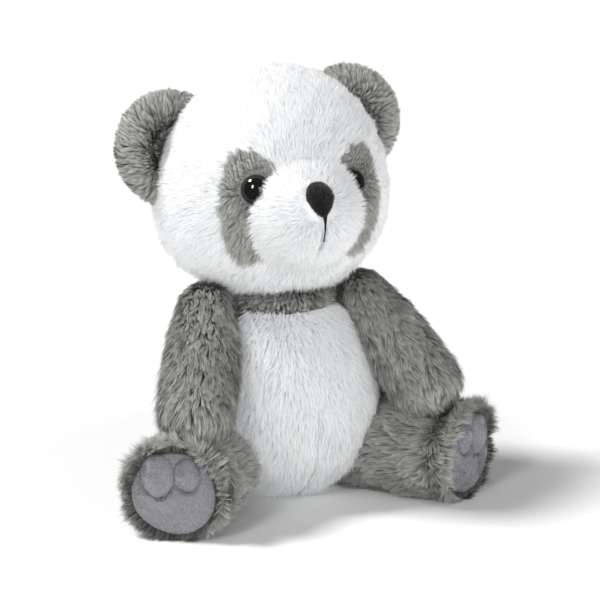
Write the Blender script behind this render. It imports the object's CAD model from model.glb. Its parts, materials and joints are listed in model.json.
"""Plush panda: sewn plush panels, fillings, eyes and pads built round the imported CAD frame.

Metres, Z up, the toy faces -Y and its own left is +X. Lengths below are written in millimetres times MM.
"""
import json
import math
from collections import namedtuple

import bpy
import numpy as np
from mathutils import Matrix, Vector


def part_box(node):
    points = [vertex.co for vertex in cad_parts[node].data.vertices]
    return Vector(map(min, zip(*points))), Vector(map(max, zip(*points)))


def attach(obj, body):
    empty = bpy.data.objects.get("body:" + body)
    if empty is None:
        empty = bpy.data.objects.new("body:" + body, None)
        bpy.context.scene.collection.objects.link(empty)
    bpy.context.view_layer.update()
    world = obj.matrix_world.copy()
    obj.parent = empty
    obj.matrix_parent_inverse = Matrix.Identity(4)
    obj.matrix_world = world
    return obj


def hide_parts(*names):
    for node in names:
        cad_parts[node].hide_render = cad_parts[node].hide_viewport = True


MM = 0.001
SIDES = (("left", 1), ("right", -1))
UP = np.array([0, 0, 1.0])
FLOOR_GAP = 0.3 * MM
SEAM_WIDTH = 0.9 * MM

# A pile is the set of fibres on one kind of plush. Density is in fibres per square millimetre. lift and
# lay are the angles, from straight up, of the lower and upper half of a fibre. swirl and mess are how
# far the combing wanders, smoothly and from fibre to fibre. clump is how far the tips in one clump_size
# draw together.
Pile = namedtuple("Pile", "length width density lift lay swirl mess clump clump_size")
PILES = {
    "head": Pile(7.0 * MM, 0.38 * MM, 4.6, 38, 70, 0.28, 0.16, 0.42, 2.0 * MM),
    "head_back": Pile(6.4 * MM, 0.46 * MM, 3.6, 36, 68, 0.30, 0.20, 0.40, 1.8 * MM),
    "muzzle": Pile(6.4 * MM, 0.34 * MM, 6.2, 24, 54, 0.18, 0.18, 0.42, 1.6 * MM),
    "patch": Pile(6.2 * MM, 0.32 * MM, 7.0, 32, 66, 0.25, 0.16, 0.60, 1.7 * MM),
    "ear": Pile(8.0 * MM, 0.34 * MM, 6.6, 28, 60, 0.35, 0.14, 0.60, 2.0 * MM),
    "belly": Pile(8.0 * MM, 0.42 * MM, 4.2, 38, 72, 0.25, 0.20, 0.45, 1.9 * MM),
    "body": Pile(9.0 * MM, 0.42 * MM, 3.8, 36, 67, 0.40, 0.18, 0.64, 2.0 * MM),
    "collar": Pile(5.0 * MM, 0.38 * MM, 5.4, 34, 64, 0.40, 0.20, 0.60, 1.6 * MM),
    "limb": Pile(12.0 * MM, 0.36 * MM, 5.4, 38, 70, 0.36, 0.13, 0.58, 2.5 * MM),
    "nap": Pile(1.3 * MM, 0.28 * MM, 9.0, 25, 52, 0.50, 0.60, 0.45, 0.9 * MM),
    "felt": Pile(1.3 * MM, 0.26 * MM, 12.0, 20, 45, 0.50, 0.70, 0.50, 1.0 * MM),
}
# Odd fibres: their share, their length over the others' and how many degrees more upright they stand.
STRAY_SHARE, STRAY_REACH, STRAY_LIFT = 0.10, 1.22, 18

# Proportions that the boxes of the CAD nodes don't give.
HEAD_HEIGHT = 1.017  # half height over half width
MUZZLE_WIDTH = 1.02  # over the muzzle panel's
MUZZLE_DEPTH, MUZZLE_HEIGHT = 1.1, 0.94  # half sizes over the half width
TRUNK_ABOVE, TRUNK_BELOW, TRUNK_LEVEL = 1.222, 0.907, 0.852  # half heights and widest level over the radius
BELLY_ANGLE = math.radians(55)  # from straight ahead to the belly's side seams
PATCH_SPREAD = 1.06  # the patch's fur over its cloth
EYE_TURN, EYE_RIM_ANGLE = math.radians(23), math.radians(15)
EAR_ROUND, EAR_THICK, EAR_DISH = 0.96, 8.0 * MM, 9.0 * MM
# Stations are (share of the limb's length, radius over the shoulder's or over the foot's).
ARM_STATIONS = ((0.25, 1.15), (0.50, 1.27), (0.80, 1.27))
HAND_ROUND = 1.243
LEG_STATIONS = ((0.22, 0.95), (0.43, 0.98), (0.75, 1.0), (0.92, 1.0), (0.97, 0.95))
LEG_ROOT_ROUND, SOLE_ROUND = 0.917, 0.86
FOOT_SLANT = math.tan(math.radians(8.5))  # the soles face further forward than the legs point
TOE_STRETCH = 1.36  # height of a toe pad over its width


# ---------------------------------------------------------------- vector helpers
def unit(vectors):
    """Each row scaled to length one."""
    return vectors / np.maximum(np.linalg.norm(vectors, axis=-1, keepdims=True), 1e-12)


def dot(a, b):
    """Row by row dot product, kept as a column."""
    return np.sum(a * b, axis=-1, keepdims=True)


def smooth(low, high, value):
    """0 below low, 1 above high, eased between."""
    t = np.clip((value - low) / (high - low), 0, 1)
    return t * t * (3 - 2 * t)


def waves(points, length, seed):
    """Smooth vector noise of about unit size that changes over the given length."""
    rng = np.random.default_rng(seed)
    total = np.zeros_like(points)
    for octave in (1.0, 0.6, 0.37):
        turn = rng.normal(0, 2 * math.pi / (length * octave) * 0.6, (3, 3))
        total += np.sin(points @ turn + rng.uniform(0, 2 * math.pi, 3)) * octave
    return total / 1.2


def ellipsoid_gap(points, centre, radii):
    """About how far each point is outside an ellipsoid; negative inside."""
    scaled = (points - centre) / radii
    near = np.linalg.norm(scaled, axis=1)
    steep = np.linalg.norm(scaled / radii, axis=1)
    return near * (near - 1) / np.maximum(steep, 1e-9)


def soft_min(a, b, width):
    """The smaller of two gaps, with a rounded valley of the given width."""
    h = np.clip(0.5 + 0.5 * (b - a) / width, 0, 1)
    return b * (1 - h) + a * h - width * h * (1 - h)


def joint(name):
    """(pivot, axis) of a joint of the frame."""
    found = next(j for j in frame["joints"] if j["name"] == name)
    return np.array(found["pos_m"]), np.array(found["axis"])


def extent(*nodes):
    """(low, high) corners of several CAD nodes together, as arrays."""
    corners = [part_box(node) for node in nodes]
    return np.min([low for low, _ in corners], axis=0), np.max([high for _, high in corners], axis=0)


# ---------------------------------------------------------------- surfaces
class Skin:
    """A closed surface of rings between two poles, held as points and triangles."""

    def __init__(self, rings, columns, place):
        """place(u, v) gives points from u, 0 to 1 pole to pole, and v, 0 to 1 round the axis."""
        self.columns = columns
        u = (np.arange(rings) + 1) / (rings + 1)
        v = np.arange(columns) / columns
        grid_u, grid_v = (axis.ravel() for axis in np.meshgrid(u, v, indexing="ij"))
        self.u = np.concatenate([[0], grid_u, [1]])
        self.v = np.concatenate([[0], grid_v, [0]])
        self.points = place(self.u, self.v)
        first = 1 + np.arange(rings - 1)[:, None] * columns
        here = np.arange(columns)[None, :]
        after = (here + 1) % columns
        a, b = first + here, first + after
        c, d = b + columns, a + columns
        last = len(self.points) - 1
        end = last - columns
        start_fan = np.stack([np.zeros(columns, int), 1 + after[0], 1 + here[0]], axis=1)
        end_fan = np.stack([np.full(columns, last), end + here[0], end + after[0]], axis=1)
        body = np.concatenate([np.stack([a, b, c], axis=-1).reshape(-1, 3),
                               np.stack([a, c, d], axis=-1).reshape(-1, 3)])
        self.tris = np.concatenate([start_fan, body, end_fan])
        self.update()

    def update(self):
        """Point normals, facing out, after the points were set."""
        corners = self.points[self.tris]
        face = np.cross(corners[:, 1] - corners[:, 0], corners[:, 2] - corners[:, 0])
        volume = np.sum(corners[:, 0] * face)
        if volume < 0:
            self.tris = self.tris[:, ::-1].copy()
            face = -face
        self.areas = np.linalg.norm(face, axis=1) / 2
        normals = np.zeros_like(self.points)
        for corner in range(3):
            np.add.at(normals, self.tris[:, corner], face)
        self.normals = unit(normals)

    def uv(self):
        """v across and u up, one pair per point."""
        return np.stack([self.v, self.u], axis=1)

    def scatter(self, density, rng):
        """Even random points with their normals; density is per square millimetre."""
        count = int(self.areas.sum() / MM**2 * density)
        chosen = rng.choice(len(self.tris), count, p=self.areas / self.areas.sum())
        first, second = rng.random(count), rng.random(count)
        over = first + second > 1
        first[over], second[over] = 1 - first[over], 1 - second[over]
        weights = np.stack([1 - first - second, first, second], axis=1)[:, :, None]
        corners = self.tris[chosen]
        points = np.sum(self.points[corners] * weights, axis=1)
        return points, unit(np.sum(self.normals[corners] * weights, axis=1))

    def shrunk(self, inset, bumps, seed):
        """A copy of this surface drawn in by inset, give or take half of bumps."""
        copy = object.__new__(Skin)
        copy.__dict__.update(self.__dict__)
        depth = inset + bumps * waves(self.points, 14 * MM, seed)[:, :1] * 0.5
        copy.points = self.points - self.normals * depth
        return copy


def radial_skin(rings, columns, centre, gap, reach):
    """The surface gap = 0 seen from a centre inside it, along rays up to reach long."""
    def place(u, v):
        polar, azimuth = np.pi * u, 2 * np.pi * v
        level = np.sin(polar)
        rays = np.stack([level * np.sin(azimuth), -level * np.cos(azimuth), np.cos(polar)], axis=1)
        low, high = np.zeros(len(rays)), np.full(len(rays), reach)
        for _ in range(30):
            middle = (low + high) / 2
            outside = gap(centre + rays * middle[:, None]) > 0
            low, high = np.where(outside, low, middle), np.where(outside, middle, high)
        return centre + rays * high[:, None]
    return Skin(rings, columns, place)


def turned_skin(rings, columns, origin, axes, profile):
    """A profile of (distance, radius) pairs turned about axes[2] through origin; v = 0 lies on axes[0]."""
    along, radius = (np.array(column, float) for column in zip(*profile))
    run = np.concatenate([[0], np.cumsum(np.hypot(np.diff(along), np.diff(radius)))])
    side, up, ahead = axes

    def place(u, v):
        s = np.interp(u * run[-1], run, along)[:, None]
        r = np.interp(u * run[-1], run, radius)[:, None]
        angle = (2 * np.pi * v)[:, None]
        return origin + ahead * s + (side * np.cos(angle) + up * np.sin(angle)) * r
    return Skin(rings, columns, place)


def ball_end(centre, radius, start, stop, steps=9):
    """Profile points of a round end, from angle start to stop in degrees from the axis direction."""
    angles = np.radians(np.linspace(start, stop, steps))
    return [(centre + radius * math.cos(a), max(radius * math.sin(a), 0)) for a in angles]


# ---------------------------------------------------------------- meshes
def placed(name, data):
    """A new object for the data, linked into the scene."""
    made = bpy.data.objects.new(name, data)
    bpy.context.scene.collection.objects.link(made)
    return made


def new_mesh(name, points, faces, body, uv=None, material=None, normals=None):
    """A smooth mesh object; faces is one array, or a list of arrays, of equal-length index rows.

    normals, one per point, are kept for shading in place of the mesh's own.
    """
    groups = faces if isinstance(faces, list) else [faces]
    groups = [np.asarray(group, np.int32) for group in groups if len(group)]
    loops = np.concatenate([group.ravel() for group in groups])
    totals = np.concatenate([np.full(len(group), group.shape[1], np.int32) for group in groups])
    mesh = bpy.data.meshes.new(name)
    mesh.vertices.add(len(points))
    mesh.vertices.foreach_set("co", np.asarray(points, np.float32).ravel())
    mesh.loops.add(len(loops))
    mesh.loops.foreach_set("vertex_index", loops)
    mesh.polygons.add(len(totals))
    mesh.polygons.foreach_set("loop_start", np.concatenate([[0], np.cumsum(totals)[:-1]]).astype(np.int32))
    mesh.polygons.foreach_set("use_smooth", np.ones(len(totals), bool))
    if uv is not None:
        layer = mesh.uv_layers.new(name="OFBake")
        layer.data.foreach_set("uv", np.asarray(uv, np.float32)[loops].ravel())
    mesh.update(calc_edges=True)
    mesh.validate()
    if normals is not None:
        mesh.normals_split_custom_set_from_vertices(normals)
    made = placed(name, mesh)
    if material is not None:
        mesh.materials.append(material)
    if body is not None:
        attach(made, body)
    return made


def piece(name, node, body, slot, mesh, look=None):
    """A piece that stands in for a CAD node; mesh is (points, faces, uv) and perhaps its normals."""
    points, faces, uv, *normals = mesh
    made = new_mesh(name, points, faces, body, uv, materials[look or slot], *normals)
    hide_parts(node)


def joined(parts):
    """Several (points, triangles, more...) as one, with the triangles renumbered."""
    starts = np.cumsum([0] + [len(part[0]) for part in parts])
    shifted = [(points, tris + start, *rest) for (points, tris, *rest), start in zip(parts, starts)]
    return tuple(np.concatenate(column) for column in zip(*shifted))


def backing(skin, chosen, thickness=1.2 * MM):
    """The woven cloth under a pile: the chosen triangles as a thin closed sheet."""
    tris = skin.tris[chosen]
    used, compact = np.unique(tris, return_inverse=True)
    tris = compact.reshape(-1, 3)
    outer = skin.points[used]
    inner = outer - skin.normals[used] * thickness
    count = len(used)
    edges = np.concatenate([tris[:, [0, 1]], tris[:, [1, 2]], tris[:, [2, 0]]])
    keys = np.sort(edges, axis=1)
    _, first, repeats = np.unique(keys[:, 0] * count + keys[:, 1], return_index=True, return_counts=True)
    rim = edges[first[repeats == 1]]
    walls = np.concatenate([np.stack([rim[:, 1], rim[:, 0], rim[:, 0] + count], axis=1),
                            np.stack([rim[:, 1], rim[:, 0] + count, rim[:, 1] + count], axis=1)])
    faces = np.concatenate([tris, tris[:, ::-1] + count, walls])
    grid = np.stack([skin.v[used] * 0.9 + 0.05, np.full(count, 0.3)], axis=1)
    uv = np.concatenate([grid, grid * (1, 0.5)])
    facing = skin.normals[used]
    return np.concatenate([outer, inner]), faces, uv, np.concatenate([facing, -facing])


def fibres(points, normals, comb, length, tone, pile, seed):
    """A pile of bent, pointed ribbons rooted at points and combed along comb."""
    rng = np.random.default_rng(seed)
    count = len(points)
    comb = unit(comb - normals * dot(comb, normals))
    comb = comb + waves(points, 11 * MM, seed + 1) * pile.swirl + rng.normal(0, pile.mess, (count, 3))
    comb = unit(comb - normals * dot(comb, normals))
    stray = rng.random(count) < STRAY_SHARE
    wander = rng.normal(0, 6, count) - STRAY_LIFT * stray
    lift, lay = (np.radians(np.clip(angle + wander, 0, 84))[:, None] for angle in (pile.lift, pile.lay))
    reach = (length * rng.uniform(0.72, 1.1, count) * np.where(stray, STRAY_REACH, 1))[:, None]
    root = points - normals * 0.3 * MM
    middle = root + (normals * np.cos(lift) + comb * np.sin(lift)) * reach * 0.45
    tip = middle + (normals * np.cos(lay) + comb * np.sin(lay)) * reach * 0.55

    cells = np.floor((points + waves(points, 6 * MM, seed + 2) * 0.4 * pile.clump_size) / pile.clump_size)
    cells = cells.astype(np.int64)
    _, group = np.unique(cells @ np.array([1, 4001, 16008001]), return_inverse=True)
    group = group.ravel()
    members = np.bincount(group)[:, None]
    for target, share in ((tip, pile.clump), (middle, pile.clump * 0.35)):
        mean = np.stack([np.bincount(group, target[:, axis]) for axis in range(3)], axis=1) / members
        target += (mean[group] - target) * share

    across = unit(np.cross(tip - root, normals) + 1e-9)
    across = unit(across + normals * rng.normal(0, 0.4, (count, 1)))
    half = across * (pile.width / 2 * rng.uniform(0.8, 1.2, (count, 1)))
    ribbon = np.stack([root - half, root + half, middle + half * 0.85, middle - half * 0.85, tip], axis=1)
    ribbon[:, :, 2] = np.maximum(ribbon[:, :, 2], FLOOR_GAP)
    shade = rng.normal(0, 0.15, members.size)[group] + rng.normal(0, 0.12, count) + tone
    shade = np.clip(0.5 + shade + waves(points, 16 * MM, seed + 3)[:, 0] * 0.06, 0.02, 0.97)
    facing = unit(normals + across * rng.uniform(-0.35, 0.35, (count, 1)) + rng.normal(0, 0.12, (count, 3)))
    corners = ((0, 0.02), (0.01, 0.02), (0.01, 0.5), (0, 0.5), (0.005, 0.98))
    uv = np.stack([np.stack([shade + across_by, np.full(count, height)], axis=1)
                   for across_by, height in corners], axis=1)
    base = np.arange(count)[:, None, None] * 5
    tris = (base + np.array([[0, 1, 2], [0, 2, 3], [3, 2, 4]])[None]).reshape(-1, 3)
    return ribbon.reshape(-1, 3), tris, uv.reshape(-1, 2), np.repeat(facing, 5, axis=0)


Panel = namedtuple("Panel", "node pile slot")


def pair(part, pile, slot):
    """The left and right panel of a part."""
    return [Panel(f"{name}_{part}", pile, slot) for name, _ in SIDES]


def sew(skin, body, panels, sort, groom, seed):
    """One plush piece per panel: its backing and its pile.

    sort(points) gives each point's panel number, groom(points, normals, panel numbers) gives the comb
    direction, the length of each fibre as a share of the pile's own, 0 where nothing grows, and how
    much lighter or darker it is, each point by point or once for all.
    """
    centres = skin.points[skin.tris].mean(axis=1)
    tri_panel = sort(centres)
    most = max(PILES[panel.pile].density for panel in panels)
    rng = np.random.default_rng(seed)
    roots, normals = skin.scatter(most, rng)
    root_panel = sort(roots)
    comb, share, tone = groom(roots, normals, root_panel)
    comb = np.broadcast_to(comb, roots.shape)
    share, tone = (np.broadcast_to(value, len(roots)) for value in (share, tone))
    thinning = rng.random(len(roots))
    for number, panel in enumerate(panels):
        pile = PILES[panel.pile]
        keep = (root_panel == number) & (thinning < pile.density / most) & (share > 0.05)
        layers = [fibres(roots[keep], normals[keep], comb[keep], pile.length * share[keep], tone[keep],
                         pile, seed + 10 * number)]
        if np.any(tri_panel == number):
            layers.append(backing(skin, tri_panel == number))
        piece(f"{panel.node}_plush", panel.node, body, panel.slot, joined(layers))


def one_panel(points):
    """Sorts every point into the only panel."""
    return np.zeros(len(points), int)


def wadding(skin, node, body, seed, inset=3.2 * MM):
    """Lumpy filling just under a skin."""
    inside = skin.shrunk(inset, 1.4 * MM, seed)
    piece(f"{node}_wadding", node, body, "polyester_fill", (inside.points, inside.tris, inside.uv()))


def puffed(skin, pinned, cap=2.6 * MM, pressure=4.0, frames=20):
    """Blows the skin up like a stuffed cover held along its seams, by a short cloth simulation."""
    scene = bpy.context.scene
    cover = new_mesh("cover_simulation", skin.points, skin.tris, None)
    seams = cover.vertex_groups.new(name="seams")
    seams.add([int(index) for index in np.flatnonzero(pinned)], 1.0, "REPLACE")
    cloth = cover.modifiers.new("Cloth", "CLOTH")
    settings = cloth.settings
    settings.quality = 6
    settings.mass = 0.05
    settings.use_pressure = True
    settings.uniform_pressure_force = pressure
    settings.vertex_group_mass = "seams"
    settings.tension_stiffness = 12
    settings.compression_stiffness = 12
    settings.bending_stiffness = 0.6
    settings.effector_weights.gravity = 0
    cloth.collision_settings.use_collision = False
    cloth.point_cache.frame_start, cloth.point_cache.frame_end = 1, frames
    for frame_number in range(1, frames + 1):
        scene.frame_set(frame_number)
    evaluated = cover.evaluated_get(bpy.context.evaluated_depsgraph_get())
    moved = np.zeros(len(skin.points) * 3, np.float32)
    evaluated.data.vertices.foreach_get("co", moved)
    shift = moved.reshape(-1, 3) - skin.points
    size = np.linalg.norm(shift, axis=1, keepdims=True)
    skin.points = skin.points + shift * np.minimum(1, cap / np.maximum(size, 1e-9))
    skin.points[:, 2] = np.maximum(skin.points[:, 2], 0)
    skin.update()
    mesh = cover.data
    bpy.data.objects.remove(cover)
    bpy.data.meshes.remove(mesh)
    scene.frame_set(1)


def tube(path, radii, sides=6):
    """A round thread along a path of points."""
    path = np.asarray(path, float)
    ahead = unit(np.gradient(path, axis=0))
    side = unit(np.cross(ahead, (0.31, 0.17, 0.94)))
    up = np.cross(ahead, side)
    angles = np.linspace(0, 2 * np.pi, sides, endpoint=False)
    ring = side[:, None] * np.cos(angles)[None, :, None] + up[:, None] * np.sin(angles)[None, :, None]
    points = path[:, None] + ring * np.broadcast_to(radii, len(path))[:, None, None]
    rows = np.arange(len(path) - 1)[:, None] * sides
    here = np.arange(sides)[None]
    after = (here + 1) % sides
    a, b, c, d = rows + here, rows + after, rows + sides + after, rows + sides + here
    tris = np.concatenate([np.stack([a, b, c], -1).reshape(-1, 3), np.stack([a, c, d], -1).reshape(-1, 3)])
    for ring_start, order in ((0, -1), ((len(path) - 1) * sides, 1)):
        fan = np.stack([np.zeros(sides - 2, int), np.arange(1, sides - 1), np.arange(2, sides)], axis=1)
        tris = np.concatenate([tris, ring_start + fan[:, ::order]])
    run = np.repeat(np.linspace(0, 1, len(path)), sides)
    uv = np.stack([run, np.tile(angles / (2 * np.pi), len(path))], axis=1)
    return points.reshape(-1, 3), tris, uv


# ---------------------------------------------------------------- materials
def shader(name, roughness, **inputs):
    """A new material, its node tree and its Principled node."""
    material = bpy.data.materials.new(name)
    material.use_nodes = True
    tree = material.node_tree
    surface = tree.nodes["Principled BSDF"]
    surface.inputs["Roughness"].default_value = roughness
    for key, value in inputs.items():
        surface.inputs[key.replace("_", " ")].default_value = value
    return material, tree, surface


def ramp(tree, factor, stops):
    """A colour ramp node fed by factor; stops are (position, linear colour)."""
    node = tree.nodes.new("ShaderNodeValToRGB")
    elements = node.color_ramp.elements
    while len(elements) < len(stops):
        elements.new(0.5)
    for element, (position, colour) in zip(elements, stops):
        element.position = position
        element.color = (*colour, 1)
    tree.links.new(factor, node.inputs["Fac"])
    return node.outputs["Color"]


def uv_sockets(tree):
    """The across and up sockets of a piece's UVs."""
    place = tree.nodes.new("ShaderNodeUVMap")
    place.uv_map = "OFBake"
    split = tree.nodes.new("ShaderNodeSeparateXYZ")
    tree.links.new(place.outputs["UV"], split.inputs[0])
    return split.outputs["X"], split.outputs["Y"]


def fibre_material(name, root, middle, tip, spread, sheen, glow=0.0):
    """Plush: colour runs from root to tip up the fibre and varies from fibre to fibre.

    glow stands for the light that passes through pale fibres.
    """
    material, tree, surface = shader(name, 0.85, Sheen_Weight=sheen, Sheen_Roughness=0.5,
                                     Specular_IOR_Level=0.15, Emission_Color=(0.96, 0.98, 1.0, 1.0),
                                     Emission_Strength=glow)
    fibre, height = uv_sockets(tree)
    colour = ramp(tree, height, ((0.0, root), (0.55, middle), (0.95, tip)))
    vary = tree.nodes.new("ShaderNodeMapRange")
    vary.inputs["To Min"].default_value = 1 - spread
    vary.inputs["To Max"].default_value = 1 + spread
    tree.links.new(fibre, vary.inputs["Value"])
    mix = tree.nodes.new("ShaderNodeVectorMath")
    mix.operation = "SCALE"
    tree.links.new(colour, mix.inputs[0])
    tree.links.new(vary.outputs["Result"], mix.inputs["Scale"])
    tree.links.new(mix.outputs["Vector"], surface.inputs["Base Color"])
    return material


def mottled_material(name, dark, light, scale, roughness, bump=0.0):
    """Two tones of fine noise, with an optional bump of the same grain."""
    material, tree, surface = shader(name, roughness)
    place = tree.nodes.new("ShaderNodeTexCoord")
    noise = tree.nodes.new("ShaderNodeTexNoise")
    noise.inputs["Scale"].default_value = scale
    noise.inputs["Detail"].default_value = 4
    tree.links.new(place.outputs["Object"], noise.inputs["Vector"])
    colour = ramp(tree, noise.outputs["Fac"], ((0.3, dark), (0.7, light)))
    tree.links.new(colour, surface.inputs["Base Color"])
    if bump:
        relief = tree.nodes.new("ShaderNodeBump")
        relief.inputs["Strength"].default_value = bump
        relief.inputs["Distance"].default_value = 0.3 * MM
        tree.links.new(noise.outputs["Fac"], relief.inputs["Height"])
        tree.links.new(relief.outputs["Normal"], surface.inputs["Normal"])
    return material


def eye_material():
    """Black pupil, dark brown ring and black rim under a clear gloss; v runs from the middle outward."""
    material, tree, surface = shader("eye_plastic", 0.12, Coat_Weight=1.0, Coat_Roughness=0.02)
    _, outward = uv_sockets(tree)
    black, brown, deep = (0.003, 0.003, 0.003), (0.060, 0.026, 0.012), (0.020, 0.010, 0.006)
    stops = ((0.0, black), (0.24, black), (0.29, deep), (0.36, brown), (0.46, deep), (0.52, black))
    tree.links.new(ramp(tree, outward, stops), surface.inputs["Base Color"])
    return material


def grey(value):
    """A linear grey."""
    return (value, value, value)


def make_materials():
    """Every material of the toy, by the record's slot name, and the felt that the nose shows."""
    # name: root, middle and tip colour, spread from fibre to fibre, sheen, glow
    piles = {
        "white_plush": ((0.68, 0.70, 0.72), (0.82, 0.83, 0.84), grey(0.93), 0.05, 0.1, 0.07),
        "grey_plush": ((0.060, 0.061, 0.057), (0.240, 0.246, 0.228), (0.600, 0.606, 0.568), 0.36, 0.2),
        "pad_velour": ((0.220, 0.216, 0.232), (0.370, 0.363, 0.390), (0.540, 0.532, 0.566), 0.34, 0.2),
        "nose_felt": (grey(0.002), grey(0.008), grey(0.060), 0.8, 0.3),
    }
    # name: dark and light colour, grain scale, roughness, bump
    mottled = {
        "washer_plastic": (grey(0.70), grey(0.78), 90, 0.45),
        "black_thread": (grey(0.004), grey(0.016), 900, 0.7, 0.3),
        "seam_thread": (grey(0.06), grey(0.10), 600, 0.8),
        "polyester_fill": (grey(0.66), grey(0.86), 220, 0.95, 0.6),
        "plastic_beans": (grey(0.72), grey(0.82), 150, 0.4),
        "bag_cloth": (grey(0.55), grey(0.68), 400, 0.9, 0.4),
        "label_ribbon": (grey(0.80), grey(0.88), 700, 0.6, 0.2),
    }
    made = {"eye_plastic": eye_material()}
    for name, values in piles.items():
        made[name] = fibre_material(name, *values)
    for name, values in mottled.items():
        made[name] = mottled_material(name, *values)
    return made


# ---------------------------------------------------------------- head
class Head:
    """Places and sizes of the head, read from the frame."""

    def __init__(self):
        _, high = extent("left_face_panel", "right_face_panel",
                         "left_head_back_panel", "right_head_back_panel")
        seam = (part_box("left_face_panel")[1].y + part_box("left_head_back_panel")[0].y) / 2
        width = high[0]
        tall = width * HEAD_HEIGHT
        self.radii = np.array([width, high[1] - seam, tall])
        self.centre = np.array([0, seam, high[2] - tall])
        low, high = extent("muzzle_panel")
        self.muzzle_radii = high[0] * MUZZLE_WIDTH * np.array([1, MUZZLE_DEPTH, MUZZLE_HEIGHT])
        self.muzzle_centre = np.array([0, low[1] + self.muzzle_radii[1], (low[2] + high[2]) / 2])
        low, high = extent("left_eye_patch")
        self.patch_half = np.array([(high[0] - low[0]) / 2, (high[2] - low[2]) / 2]) * PATCH_SPREAD
        self.patch_middle = np.array([(high[0] + low[0]) / 2, (high[2] + low[2]) / 2])
        low, high = extent("left_eye")
        self.eye_r = (high[2] - low[2]) / 2 / math.cos(EYE_RIM_ANGLE)
        self.eye = np.array([high[0] - self.eye_r, low[1] + self.eye_r, (low[2] + high[2]) / 2])
        low, high = extent("nose_embroidery")
        self.nose_half = np.array([high[0], (high[2] - low[2]) / 2])
        self.nose = np.array([0, low[1], (low[2] + high[2]) / 2])
        low, _ = extent("mouth_stitch")
        self.mouth_bottom = low[2]

    def gap(self, points):
        """The skull with fuller cheeks, fuller still behind, blended into the snout."""
        drop = (self.centre[2] - points[:, 2]) / self.radii[2]
        behind = smooth(-0.3, 0.5, (points[:, 1] - self.centre[1]) / self.radii[1])
        jowl = 1 + (0.050 + 0.045 * behind) * smooth(-0.5, 0.3, drop) * smooth(1.1, 0.5, drop)
        drawn_in = self.centre + (points - self.centre) / jowl[:, None]
        skull = ellipsoid_gap(drawn_in, self.centre, self.radii)
        snout = ellipsoid_gap(points, self.muzzle_centre, self.muzzle_radii)
        return soft_min(skull, snout, 7 * MM)

    def sort(self, points):
        """Panel numbers: face left/right, back left/right, muzzle, patch left/right."""
        skull = ellipsoid_gap(points, self.centre, self.radii)
        snout = ellipsoid_gap(points, self.muzzle_centre, self.muzzle_radii)
        right = (points[:, 0] < 0).astype(int)
        number = np.where(points[:, 1] < self.centre[1], 0, 2) + right
        ragged = 1 + 0.10 * waves(points, 3.5 * MM, 5)[:, 0]
        x = (np.abs(points[:, 0]) - self.patch_middle[0]) / self.patch_half[0]
        z = (points[:, 2] - self.patch_middle[1]) / self.patch_half[1]
        lean = (x - 0.16 * np.minimum(z, 0)) * np.where(x < 0, 1 - 0.24 * smooth(-0.2, 0.8, z), 1)
        patch = (np.abs(lean) ** 2.3 + np.abs(z) ** 2.3 < ragged) & (points[:, 1] < self.centre[1])
        number = np.where(patch, 5 + right, number)
        return np.where(snout < skull - 0.4 * MM, 4, number)

    def nose_clearance(self, points):
        """Below 1 inside the nose's outline, seen from the front."""
        x = points[:, 0] / self.nose_half[0]
        z = (points[:, 2] - self.nose[2]) / self.nose_half[1]
        return np.where(points[:, 1] < self.nose[1] + 9 * MM, np.hypot(x, z), 9)

    def groom(self, points, normals, number):
        """Hair runs from the snout up over the forehead, out over the cheeks and down the back."""
        away = unit(points - self.muzzle_centre)
        height = (points[:, 2] - self.centre[2]) / self.radii[2]
        cheek = smooth(0.25, -0.6, height)[:, None]
        behind = smooth(-0.2, 0.6, (points[:, 1] - self.centre[1]) / self.radii[1])[:, None]
        comb = away * (1 - 0.6 * behind) - UP * (0.15 + 0.55 * cheek + 1.1 * behind)
        share = 0.82 + (0.5 + 0.35 * behind[:, 0]) * cheek[:, 0] + 0.12 * waves(points, 22 * MM, 3)[:, 0]

        from_nose = points - (self.nose + np.array([0, 4 * MM, 0]))
        muzzle = number == 4
        comb[muzzle] = unit(from_nose[muzzle]) + np.array([0, 0.35, 0])
        spread = np.linalg.norm(from_nose, axis=1)
        share = np.where(muzzle, 0.52 + 0.75 * smooth(8 * MM, 25 * MM, spread), share)

        side = np.sign(points[:, :1])
        patch = number >= 5
        below = smooth(6 * MM, -8 * MM, points[:, 2] - self.eye[2])[:, None]
        fan = np.concatenate([side * 0.55, np.zeros_like(side), 0.9 - 1.9 * below], axis=1)
        comb[patch] = fan[patch]
        share = np.where(patch, 0.75 + 0.55 * below[:, 0], share)

        eye = self.eye * np.concatenate([side, np.ones_like(side), np.ones_like(side)], axis=1)
        from_eye = np.linalg.norm(points - eye, axis=1)
        clear = np.where(muzzle, 1.15, 1.5)
        share = share * smooth(self.eye_r * 0.86, self.eye_r * clear, from_eye)
        share = share * smooth(0.80, 1.5, self.nose_clearance(points))
        mouth = muzzle & (points[:, 2] < self.nose[2]) & (points[:, 2] > self.mouth_bottom)
        parting = smooth(0.2 * MM, 2.2 * MM, np.abs(points[:, 0]))
        share = np.where(mouth, share * (0.25 + 0.75 * parting), share)
        return comb, share, 0.0


HEAD_PANELS = (pair("face_panel", "head", "white_plush")
               + pair("head_back_panel", "head_back", "white_plush")
               + [Panel("muzzle_panel", "muzzle", "white_plush")]
               + pair("eye_patch", "patch", "grey_plush"))


def make_head(head):
    """Seven plush panels over one skin, and the filling."""
    skin = radial_skin(90, 132, head.centre, head.gap, 0.11)
    sew(skin, "head", HEAD_PANELS, head.sort, head.groom, 100)
    wadding(skin, "head_stuffing", "head", 101)


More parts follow.
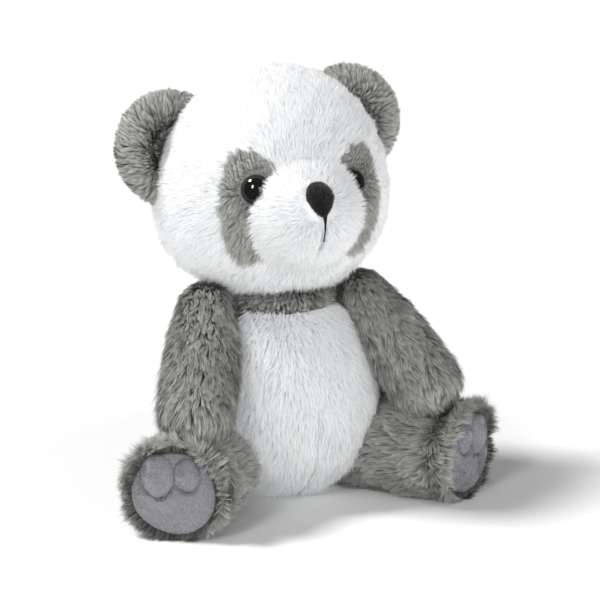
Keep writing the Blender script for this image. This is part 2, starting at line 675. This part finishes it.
def make_eyes(head):
    """Glossy domed caps, each with its shank, looking a little outward."""
    for name, side in SIDES:
        centre = head.eye * (side, 1, 1)
        turn = EYE_TURN * side
        ahead = np.array([math.sin(turn), -math.cos(turn), 0])
        axes = (np.cross(UP, ahead), UP, ahead)
        radius = head.eye_r
        rim = [(-1.6 * MM, radius * 0.96), (-2.4 * MM, radius * 0.80), (-2.4 * MM, 2.2 * MM),
               (-12 * MM, 2.2 * MM), (-12.6 * MM, 1.4 * MM), (-12.6 * MM, 0)]
        skin = turned_skin(70, 56, centre, axes, ball_end(0, radius, 0, 100, 40) + rim)
        piece(f"{name}_eye_cap", f"{name}_eye", "head", "eye_plastic", (skin.points, skin.tris, skin.uv()))


def on_muzzle(head, x, z, lift):
    """Points on the snout at the given x and z, raised by lift."""
    x, z = np.asarray(x, float), np.asarray(z, float)
    inside = 1 - (x / head.muzzle_radii[0]) ** 2 - ((z - head.muzzle_centre[2]) / head.muzzle_radii[2]) ** 2
    y = head.muzzle_centre[1] - head.muzzle_radii[1] * np.sqrt(np.maximum(inside, 0.01))
    points = np.stack([x, y, z], axis=-1)
    outward = unit((points - head.muzzle_centre) / head.muzzle_radii**2)
    return points + outward * np.asarray(lift)[..., None]


def nose_edge(head, x):
    """Upper and lower edge of the nose at x: a wide rounded top narrowing to a blunt point."""
    share = np.clip(np.abs(x) / (head.nose_half[0] * 0.96), 0, 1)
    top = head.nose[2] + head.nose_half[1] * 0.90 * np.sqrt(np.maximum(1 - share**2.6, 0))
    bottom = head.nose[2] - head.nose_half[1] * (0.78 - 0.95 * share**1.9)
    return top, np.minimum(bottom, top)


def make_nose(head):
    """A domed nose pad covered in short felt."""
    width = head.nose_half[0] * 0.92
    middle = head.nose[2] + 0.1 * head.nose_half[1]

    def place(u, v):
        spread = np.sin(np.pi * u) ** 0.85
        x = width * spread * np.cos(2 * np.pi * v)
        top, bottom = nose_edge(head, x / np.maximum(spread, 0.02))
        edge = np.where(v < 0.5, top - middle, bottom - middle)
        z = middle + spread * edge * np.abs(np.sin(2 * np.pi * v)) ** 0.12
        lift = np.where(u < 0.5, 0.8 * MM + 3.0 * MM * np.maximum(1 - spread**3, 0) ** 0.6, 0.2 * MM)
        return on_muzzle(head, x, z, lift)

    skin = Skin(30, 48, place)
    pile = PILES["felt"]
    roots, normals = skin.scatter(pile.density, np.random.default_rng(30))
    comb = unit(roots - head.nose) + np.array([0, 0, -0.3])
    felt = fibres(roots, normals, comb, np.full(len(roots), pile.length), 0.0, pile, 32)
    uv = np.stack([skin.v, np.full(len(skin.v), 0.3)], axis=1)
    mesh = joined([felt, (skin.points, skin.tris, uv, skin.normals)])
    piece("nose_felt_pad", "nose_embroidery", "head", "black_thread", mesh, look="nose_felt")


def make_mouth(head):
    """The sewn line under the nose: thick where it leaves the nose, then a single thread."""
    top = nose_edge(head, 0)[1] + 1.2 * MM
    bottom = head.mouth_bottom + 3 * MM
    run = np.linspace(0, 1, 30)
    lines = []
    for offset in (-0.4, 0.4):
        x = offset * MM * (1 - run) ** 2 + 0.9 * MM * run
        z = top + (bottom - top) * run
        lift = 3.0 * MM - 0.9 * MM * run
        lines.append(tube(on_muzzle(head, x, z, lift), (0.75 * (1 - run) ** 3.5 + 0.30) * MM))
    piece("mouth_thread", "mouth_stitch", "head", "black_thread", joined(lines))


def make_ears(head):
    """Round dished ears: hair rays out from the middle over the rim; the cup is short and dark."""
    for side_name, side in SIDES:
        base, hinge = joint(f"{side_name}_ear_fold")
        outward = unit((base - head.centre) * (1, 0, 1))
        facing = np.cross(outward, hinge)
        if facing[1] > 0:
            facing = -facing
        low, high = extent(f"{side_name}_ear_front_cover", f"{side_name}_ear_back_cover")
        radius = (high[2] - low[2]) / 2 * EAR_ROUND
        hinge_up = np.cross(facing, outward)

        def place(u, v):
            spread = radius * np.sin(np.pi * u)
            x = spread * np.cos(2 * np.pi * v)
            y = spread * np.sin(2 * np.pi * v)
            x = np.where(x < -6 * MM, -6 * MM + (x + 6 * MM) * 0.12, x)
            from_cup = np.hypot(x + 1 * MM, y)
            dish = EAR_DISH * (1 - smooth(radius * 0.30, radius * 0.66, from_cup))
            thick = EAR_THICK * np.cos(np.pi * u) - np.where(u < 0.5, dish, 0)
            return base + outward * x[:, None] + hinge_up * y[:, None] + facing * thick[:, None]

        def sort(points):
            local = (points - base) @ facing
            spread = np.linalg.norm(points - base - facing * local[:, None], axis=1)
            return np.where(local > -1.2 * MM * (1 - smooth(0, radius, spread)) - 0.2 * MM, 0, 1)

        def groom(points, normals, number):
            flat = points - base - outward * (-4 * MM)
            flat = flat - facing * (flat @ facing)[:, None]
            spread = np.linalg.norm(flat, axis=1)
            swirl = np.cross(facing, unit(flat)) * 0.25 * side
            ring = smooth(radius * 0.50, radius * 0.85, spread)
            share = np.where(number == 1, 0.95, 0.34 + 0.68 * ring)
            return unit(flat) + swirl, share, np.where(number == 1, 0, -0.42 * (1 - ring))

        skin = Skin(44, 72, place)
        panels = [Panel(f"{side_name}_ear_{face}_cover", "ear", "grey_plush") for face in ("front", "back")]
        sew(skin, f"{side_name}_ear", panels, sort, groom, 200 + 50 * side)


# ---------------------------------------------------------------- trunk
class Trunk:
    """An egg-shaped body on a flat seat, read from the frame."""

    def __init__(self):
        _, high = extent("left_back_panel", "right_back_panel")
        self.radius = high[0]
        self.centre = np.array([0, 0, self.radius * TRUNK_LEVEL])
        self.seat_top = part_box("seat_base_panel")[1].z
        collar_low, collar_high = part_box("collar_panel")
        self.collar = collar_low.z
        self.top = collar_high.z

    def gap(self, points):
        """Taller above the widest level than below it."""
        upper = ellipsoid_gap(points, self.centre, self.radius * np.array([1, 1, TRUNK_ABOVE]))
        lower = ellipsoid_gap(points, self.centre, self.radius * np.array([1, 1, TRUNK_BELOW]))
        return np.where(points[:, 2] > self.centre[2], upper, lower)

    def azimuth(self, points):
        """Angle round the trunk from straight ahead, positive to the toy's left."""
        return np.arctan2(points[:, 0], -points[:, 1])

    def sort(self, points):
        """Panel numbers: belly, back left/right, collar, seat."""
        angle = self.azimuth(points)
        number = np.where(np.abs(angle) < BELLY_ANGLE, 0, np.where(angle > 0, 1, 2))
        number = np.where(points[:, 2] > self.collar + 0.8 * MM, 3, number)
        return np.where(points[:, 2] < self.seat_top * 0.6, 4, number)

    def groom(self, points, normals, number):
        """Combed down, parting a little at the belly's middle seam; short under the seat."""
        side = np.sign(points[:, :1]) * smooth(0, 25 * MM, np.abs(points[:, :1]))
        down = np.concatenate([side * 0.12, np.zeros_like(side), -np.ones_like(side)], axis=1)
        outward = points * (1, 1, 0)
        comb = np.where((number == 4)[:, None], outward, down)
        sideways = np.cross(outward, UP) + outward * 0.5
        comb = np.where((number == 3)[:, None], sideways / self.radius, comb)
        share = np.where(number == 4, 0.35, 1.0) + 0.1 * waves(points, 25 * MM, 8)[:, 0]
        share = np.where(points[:, 2] > self.top - 0.5 * MM, 0.5, share)
        seam = (number == 0) & (points[:, 2] < self.centre[2] + 12 * MM)
        parting = 0.5 + 0.5 * smooth(0.2 * MM, 1.6 * MM, np.abs(points[:, 0]))
        share = np.where(seam, share * parting, share)
        return comb, share, 0.0


def make_trunk(trunk):
    """Five plush panels over an egg with a flat seat and a flat top, and the filling."""
    skin = radial_skin(56, 96, trunk.centre, trunk.gap, 0.13)
    skin.points[:, 2] = np.clip(skin.points[:, 2], 0, trunk.top)
    skin.update()
    plain = skin.shrunk(0, 0, 0)
    angle = np.abs(trunk.azimuth(skin.points))
    near = math.radians(360 / skin.columns) * 0.6
    seam = (np.abs(angle - BELLY_ANGLE) < near) | (angle < near) | (angle > math.pi - near)
    ends = (skin.points[:, 2] < trunk.seat_top) | (skin.points[:, 2] > trunk.collar)
    puffed(skin, seam | ends)
    panels = ([Panel("belly_panel", "belly", "white_plush")]
              + pair("back_panel", "body", "grey_plush")
              + [Panel("collar_panel", "collar", "grey_plush"),
                 Panel("seat_base_panel", "body", "grey_plush")])
    sew(skin, "trunk", panels, trunk.sort, trunk.groom, 300)
    wadding(plain, "body_stuffing", "trunk", 301)


def make_neck():
    """The drawn-in neck between trunk and head, with its closing thread."""
    low, high = extent("neck_stuffing")
    centre = (low + high) / 2
    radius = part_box("neck_seam_thread")[1].x

    def gap(points):
        return ellipsoid_gap(points, centre, np.array([radius + 10 * MM, radius + 10 * MM, 7 * MM]))

    def groom(points, normals, number):
        return points * (1, 1, 0) - UP * 0.02, 0.8, 0.0

    skin = radial_skin(24, 60, centre, gap, 0.05)
    sew(skin, "neck", [Panel("neck_stuffing", "body", "grey_plush")], one_panel, groom, 350)
    ring_z = (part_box("neck_seam_thread")[0].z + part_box("neck_seam_thread")[1].z) / 2
    turns = np.linspace(0, 2 * np.pi, 181)
    strands = []
    for phase in (0, np.pi):
        twist = turns * 24 + phase
        r = radius - 1 * MM + 0.45 * MM * np.cos(twist)
        path = np.stack([r * np.cos(turns), r * np.sin(turns), ring_z + 0.45 * MM * np.sin(twist)], axis=1)
        strands.append(tube(path, 0.4 * MM))
    piece("neck_closing_thread", "neck_seam_thread", "neck", "seam_thread", joined(strands))


def make_bean_bag():
    """A pillow-shaped pouch of two sewn discs, full of plastic beans."""
    low, high = extent("bean_bag_upper", "bean_bag_lower")
    centre, half = (low + high) / 2, (high - low) / 2
    for name, sign in (("upper", 1), ("lower", -1)):
        axes = (np.array([1.0, 0, 0]), np.array([0, 1.0, 0]), UP * sign)
        crown = [(half[2] * math.cos(a) ** 0.8, half[0] * math.sin(a)) for a in np.linspace(0, 1.5, 12)]
        lining = [(max(s - 0.5 * MM, 0.1 * MM), max(r - 0.6 * MM, 0)) for s, r in reversed(crown)]
        profile = crown + [(0.1 * MM, half[0])] + lining
        skin = turned_skin(30, 48, centre, axes, profile)
        piece(f"bean_bag_{name}_disc", f"bean_bag_{name}", "trunk", "bag_cloth",
              (skin.points, skin.tris, skin.uv()))

    rng = np.random.default_rng(61)
    spots = rng.uniform(-1, 1, (2400, 3))
    spots = spots[np.linalg.norm(spots, axis=1) < 0.86][:420]
    shape = turned_skin(3, 6, np.zeros(3), np.eye(3), ball_end(0, 1.5 * MM, 0, 180, 9))
    beans = []
    for spot in spots:
        turn, _ = np.linalg.qr(rng.normal(size=(3, 3)))
        body = (shape.points * (1, 0.8, 1.2)) @ turn
        beans.append((body + centre + spot * half, shape.tris, shape.uv()))
    piece("bean_bag_beans", "bean_bag_pellets", "trunk", "plastic_beans", joined(beans))


def make_label():
    """A blank ribbon label, folded over, beside the tail."""
    low, high = extent("care_label")
    count, thickness = 24, 0.12 * MM
    run = np.linspace(0, 1, count)
    out = low[1] + (high[1] - low[1]) * np.sin(np.pi * run) ** 0.6
    side = (low[0] + high[0]) / 2 + 0.55 * MM * np.cos(np.pi * run)
    shell = thickness * np.sign(0.5 - run + 1e-6)
    grid = [np.stack([side + face * shell, out, np.full(count, level)], axis=1)
            for level in (low[2], high[2]) for face in (-1, 1)]
    rows = [0, count, 3 * count, 2 * count, 0]
    quads = [[start + i, start + i + 1, end + i + 1, end + i]
             for start, end in zip(rows, rows[1:]) for i in range(count - 1)]
    uv = np.stack([np.tile(run, 4), np.repeat([0.05, 0.1, 0.9, 0.95], count)], axis=1)
    piece("care_label_ribbon", "care_label", "trunk", "label_ribbon",
          (np.concatenate(grid), np.array(quads), uv))


# ---------------------------------------------------------------- limbs
def limb_axes(ahead, side):
    """(outer side, up, ahead) of a limb; the outer side is level."""
    outer = unit(np.cross(UP, ahead))
    if outer[0] * side < 0:
        outer = -outer
    return outer, np.cross(ahead, outer) * side, ahead


def sew_limb(limb, skin, origin, outer, pinned, groom, seed, filling_seed):
    """Puffs a limb up between its seams, sews its outer and inner panel and fills it."""
    plain = skin.shrunk(0, 0, 0)
    seam = np.abs((skin.points - origin) @ outer) < SEAM_WIDTH
    puffed(skin, seam | pinned, cap=2.2 * MM)

    def sort(points):
        return ((points - origin) @ outer < 0).astype(int)

    panels = [Panel(f"{limb}_{face}_panel", "limb", "grey_plush") for face in ("outer", "inner")]
    sew(skin, limb, panels, sort, groom, seed)
    wadding(plain, f"{limb}_stuffing", limb, filling_seed)


def make_arm(side_name, side):
    """An arm from the shoulder to a round hand, hair combed down it."""
    shoulder, _ = joint(f"{side_name}_arm_raise")
    low, high = extent(f"{side_name}_arm_outer_panel", f"{side_name}_arm_inner_panel")
    root_r = high[2] - shoulder[2]
    hand_r = root_r * HAND_ROUND
    outer_x = high[0] if side > 0 else low[0]
    hand = np.array([outer_x - side * hand_r, low[1] + hand_r, low[2] + hand_r])
    length = np.linalg.norm(hand - shoulder)
    axes = limb_axes((hand - shoulder) / length, side)
    profile = (ball_end(0, root_r, 180, 95) + [(length * at, root_r * r) for at, r in ARM_STATIONS]
               + ball_end(length, hand_r, 85, 0))

    def groom(points, normals, number):
        local = points - shoulder
        along = local @ axes[2]
        round_hand = smooth(length * 0.8, length + hand_r, along)[:, None]
        comb = axes[2] * (1 - 0.5 * round_hand) - UP * (0.35 + 0.5 * round_hand)
        share = 0.72 + 0.28 * smooth(-root_r, length * 0.3, along) + 0.12 * waves(points, 20 * MM, 11)[:, 0]
        return comb, share, 0.0

    skin = turned_skin(54, 48, shoulder, axes, profile)
    sew_limb(f"{side_name}_arm", skin, shoulder, axes[0], False, groom, 400 + 50 * side, 401)


def pad(name, body, centre, axes, half, bulge, seed, dents=()):
    """A puffy velour pad with a short nap: half holds its half width and half height.

    dents holds the centre and half width of each toe pad that presses this one flat.
    """
    side, up, ahead = axes

    def place(u, v):
        angle = 2 * np.pi * v
        spread = np.sin(np.pi * u) ** 0.8
        wobble = 1 + 0.02 * np.sin(3 * angle + seed)
        x, z = spread * np.cos(angle) * half[0] * wobble, spread * np.sin(angle) * half[1] * wobble
        front = u < 0.5
        puff = bulge * np.maximum(1 - spread**2.6, 0) ** 0.75
        flat = centre + side * x[:, None] + up * z[:, None]
        for spot, radius in dents:
            away = np.hypot((flat - spot) @ side, (flat - spot) @ up / TOE_STRETCH)
            puff = puff * smooth(radius * 0.85, radius * 1.25, away)
        return flat + ahead * np.where(front, puff, -1.2 * MM * (1 - spread**4))[:, None]

    def groom(points, normals, number):
        front = (normals @ ahead) > -0.2
        return -up, np.where(front, 1.0, 0.0), 0.0

    skin = Skin(40, 60, place)
    sew(skin, body, [Panel(name, "nap", "pad_velour")], one_panel, groom, seed)


def make_leg(side_name, side):
    """A leg from the hip to a flat sole with its pads; the hair stands up round the sole's rim."""
    hip, _ = joint(f"{side_name}_leg_spread")
    body = f"{side_name}_leg"
    sole_low, sole_high = extent(f"{side_name}_sole_pad")
    sole = (sole_low + sole_high) / 2
    sole_r = (sole_high[2] - sole_low[2]) / 2
    length = np.linalg.norm(sole - hip)
    axes = limb_axes((sole - hip) / length, side)
    low, high = extent(f"{side_name}_leg_outer_panel", f"{side_name}_leg_inner_panel")
    foot_r = (high[2] - low[2]) / 2
    foot_ahead = unit(axes[2] - axes[0] * FOOT_SLANT)
    foot_axes = (unit(axes[0] + axes[2] * FOOT_SLANT), axes[1], foot_ahead)
    end = length + 0.2 * MM
    profile = (ball_end(0, foot_r * LEG_ROOT_ROUND, 180, 95)
               + [(length * at, foot_r * r) for at, r in LEG_STATIONS]
               + [(end, foot_r * SOLE_ROUND), (end, 0)])

    def skew(local, along):
        """How far the slanted sole moves a point along the leg."""
        return FOOT_SLANT * (local @ axes[0]) * smooth(length * 0.4, length, along)

    skin = turned_skin(60, 60, hip, axes, profile)
    along = (skin.points - hip) @ axes[2]
    skin.points = skin.points + axes[2] * skew(skin.points - hip, along)[:, None]
    skin.update()
    sole_end = along > length * 0.95

    def groom(points, normals, number):
        local = points - hip
        along = local @ axes[2]
        spoke = unit(local - axes[2] * along[:, None])
        along = (along - skew(local, along))[:, None]
        rim = smooth(length * 0.72, length * 0.98, along)
        comb = -axes[2] * (1 - rim) + spoke * rim * 0.7 + axes[2] * rim * 0.55
        comb = comb - UP * 0.25 * (1 - rim)
        under_pad = np.linalg.norm(local - axes[2] * along, axis=1) < sole_r
        covered = (along[:, 0] > length - 0.8 * MM) & under_pad
        crown = rim[:, 0] * smooth(0, 0.9, spoke[:, 2])
        share = 0.85 + 0.35 * crown + 0.12 * waves(points, 20 * MM, 13)[:, 0]
        return comb, np.where(covered, 0, share), 0.0

    sew_limb(body, skin, hip, axes[0], sole_end, groom, 500 + 50 * side, 501)

    toes = {}
    for toe in ("outer", "inner"):
        toe_low, toe_high = extent(f"{side_name}_{toe}_toe_pad")
        toes[toe] = ((toe_low + toe_high) / 2, (toe_high[2] - toe_low[2]) / 2)
    sole_middle = sole + axes[2] * 0.8 * MM
    on_sole = {toe: (centre + (sole_middle - centre) @ foot_ahead * foot_ahead, radius)
               for toe, (centre, radius) in toes.items()}
    pad(f"{side_name}_sole_pad", body, sole_middle, foot_axes, (sole_r * 1.04, sole_r * 1.02), 4.6 * MM,
        600 + side, on_sole.values())
    for number, (toe, (centre, radius)) in enumerate(on_sole.items()):
        pad(f"{side_name}_{toe}_toe_pad", body, centre + foot_ahead * 1.2 * MM, foot_axes,
            (radius * 1.08, radius * TOE_STRETCH), 3.8 * MM, 610 + side + 3 * number)


def make_tail():
    """A short round tail at the back."""
    root, _ = joint("tail_wag")
    low, high = extent("tail_left_panel", "tail_right_panel")
    tip_r = (high[0] - low[0]) / 2
    tip = np.array([0, high[1] - tip_r, high[2] - tip_r])
    length = np.linalg.norm(tip - root)
    ahead = (tip - root) / length
    axes = (np.array([1.0, 0, 0]), np.cross(ahead, (1.0, 0, 0)), ahead)
    profile = ball_end(0, tip_r * 0.72, 180, 100) + ball_end(length, tip_r, 80, 0)
    skin = turned_skin(30, 36, root, axes, profile)

    def groom(points, normals, number):
        return ahead - UP * 0.4, 1.0, 0.0

    panels = [Panel(f"tail_{name}_panel", "limb", "grey_plush") for name, _ in SIDES]
    sew(skin, "tail", panels, lambda p: (p[:, 0] < 0).astype(int), groom, 700)
    wadding(skin, "tail_stuffing", "tail", 701, inset=2.4 * MM)


# ---------------------------------------------------------------- stage
def make_floor():
    """A wide floor that reads as plain white paper, a little brighter away from the toy."""
    material, tree, surface = shader("floor_paper", 0.9)
    surface.inputs["Base Color"].default_value = (0.9, 0.9, 0.9, 1)
    surface.inputs["Emission Color"].default_value = (1, 1, 1, 1)
    place = tree.nodes.new("ShaderNodeTexCoord")
    away = tree.nodes.new("ShaderNodeVectorMath")
    away.operation = "LENGTH"
    tree.links.new(place.outputs["Object"], away.inputs[0])
    glow = tree.nodes.new("ShaderNodeMapRange")
    for key, value in (("From Min", 0.14), ("From Max", 0.5), ("To Min", 0.02), ("To Max", 0.45)):
        glow.inputs[key].default_value = value
    tree.links.new(away.outputs["Value"], glow.inputs["Value"])
    tree.links.new(glow.outputs["Result"], surface.inputs["Emission Strength"])
    radius, corners = 14, 64
    angles = np.linspace(0, 2 * np.pi, corners, endpoint=False)
    rim = np.stack([radius * np.cos(angles), radius * np.sin(angles), np.zeros(corners)], axis=1)
    floor = new_mesh("floor", rim, np.arange(corners)[None], None, None, material)
    floor.visible_glossy = False


def make_light(name, place, target, size, power):
    """A rectangular lamp at place, aimed at target."""
    data = bpy.data.lights.new(name, "AREA")
    data.shape = "RECTANGLE"
    data.size, data.size_y = size
    data.energy = power
    lamp = placed(name, data)
    lamp.location = place
    lamp.rotation_euler = (Vector(target) - Vector(place)).to_track_quat("-Z", "Y").to_euler()
    return lamp


def make_lights(middle):
    """A bright surround, a soft overhead sun from the left, a key from the upper left and a front fill."""
    world = bpy.data.worlds.new("surround")
    world.use_nodes = True
    tree = world.node_tree
    path = tree.nodes.new("ShaderNodeLightPath")
    strength = tree.nodes.new("ShaderNodeMapRange")
    strength.inputs["To Min"].default_value = 0.21
    strength.inputs["To Max"].default_value = 0.10
    tree.links.new(path.outputs["Is Glossy Ray"], strength.inputs["Value"])
    brighter = tree.nodes.new("ShaderNodeMath")
    brighter.operation = "MAXIMUM"
    tree.links.new(strength.outputs["Result"], brighter.inputs[0])
    tree.links.new(path.outputs["Is Camera Ray"], brighter.inputs[1])
    tree.links.new(brighter.outputs["Value"], tree.nodes["Background"].inputs["Strength"])
    tree.nodes["Background"].inputs["Color"].default_value = (1, 1, 1, 1)
    bpy.context.scene.world = world
    sun = bpy.data.lights.new("sun", "SUN")
    sun.energy = 2.7
    sun.angle = math.radians(13)
    lamp = placed("sun", sun)
    lamp.rotation_euler = Vector((-0.60, 0.30, 1)).to_track_quat("Z", "Y").to_euler()
    make_light("key", (-1.15, -0.95, 1.0), middle, (0.35, 0.6), 9)
    fill = make_light("fill", (0.5, -1.6, 0.5), middle, (1.2, 1.0), 10)
    fill.data.specular_factor = 0


def make_camera():
    """A long lens from the toy's right front, a little above."""
    azimuth, elevation, distance = math.radians(-23.4), math.radians(13.3), 1.0
    target = Vector((10.4 * MM, -8.2 * MM, 102.8 * MM))
    level = math.cos(elevation)
    back = Vector((math.sin(azimuth) * level, -math.cos(azimuth) * level, math.sin(elevation)))
    data = bpy.data.cameras.new("camera")
    data.lens = 111.5
    data.sensor_width = 36
    camera = placed("camera", data)
    camera.location = target + back * distance
    camera.rotation_euler = (-back).to_track_quat("-Z", "Y").to_euler()
    bpy.context.scene.camera = camera


def finish_cad_washers():
    """The lock washers are hard parts and keep their CAD shape."""
    for name, _ in SIDES:
        washer = frame["nodes"][f"{name}_eye_washer"]
        washer.data.materials.clear()
        washer.data.materials.append(materials["washer_plastic"])


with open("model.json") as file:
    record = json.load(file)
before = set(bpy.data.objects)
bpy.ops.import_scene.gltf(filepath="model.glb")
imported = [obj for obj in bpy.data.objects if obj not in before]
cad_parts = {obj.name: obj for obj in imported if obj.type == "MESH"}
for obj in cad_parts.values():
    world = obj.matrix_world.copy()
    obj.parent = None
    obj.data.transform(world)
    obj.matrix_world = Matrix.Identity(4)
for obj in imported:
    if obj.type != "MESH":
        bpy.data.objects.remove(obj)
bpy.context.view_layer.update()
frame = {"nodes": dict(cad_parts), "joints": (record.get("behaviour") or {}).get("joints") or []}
materials = make_materials()


def main():
    """The whole toy, its stage, light and camera."""
    head = Head()
    trunk = Trunk()
    make_head(head)
    make_eyes(head)
    make_nose(head)
    make_mouth(head)
    make_ears(head)
    make_trunk(trunk)
    make_neck()
    make_bean_bag()
    make_label()
    for side_name, side in SIDES:
        make_arm(side_name, side)
        make_leg(side_name, side)
    make_tail()
    finish_cad_washers()
    make_floor()
    chest = head.centre * (0, 0, 0.6)
    make_lights(chest)
    make_camera()
    scene = bpy.context.scene
    scene.view_settings.view_transform = "Standard"
    scene.cycles.max_bounces = 10
    scene.cycles.diffuse_bounces = 6


main()
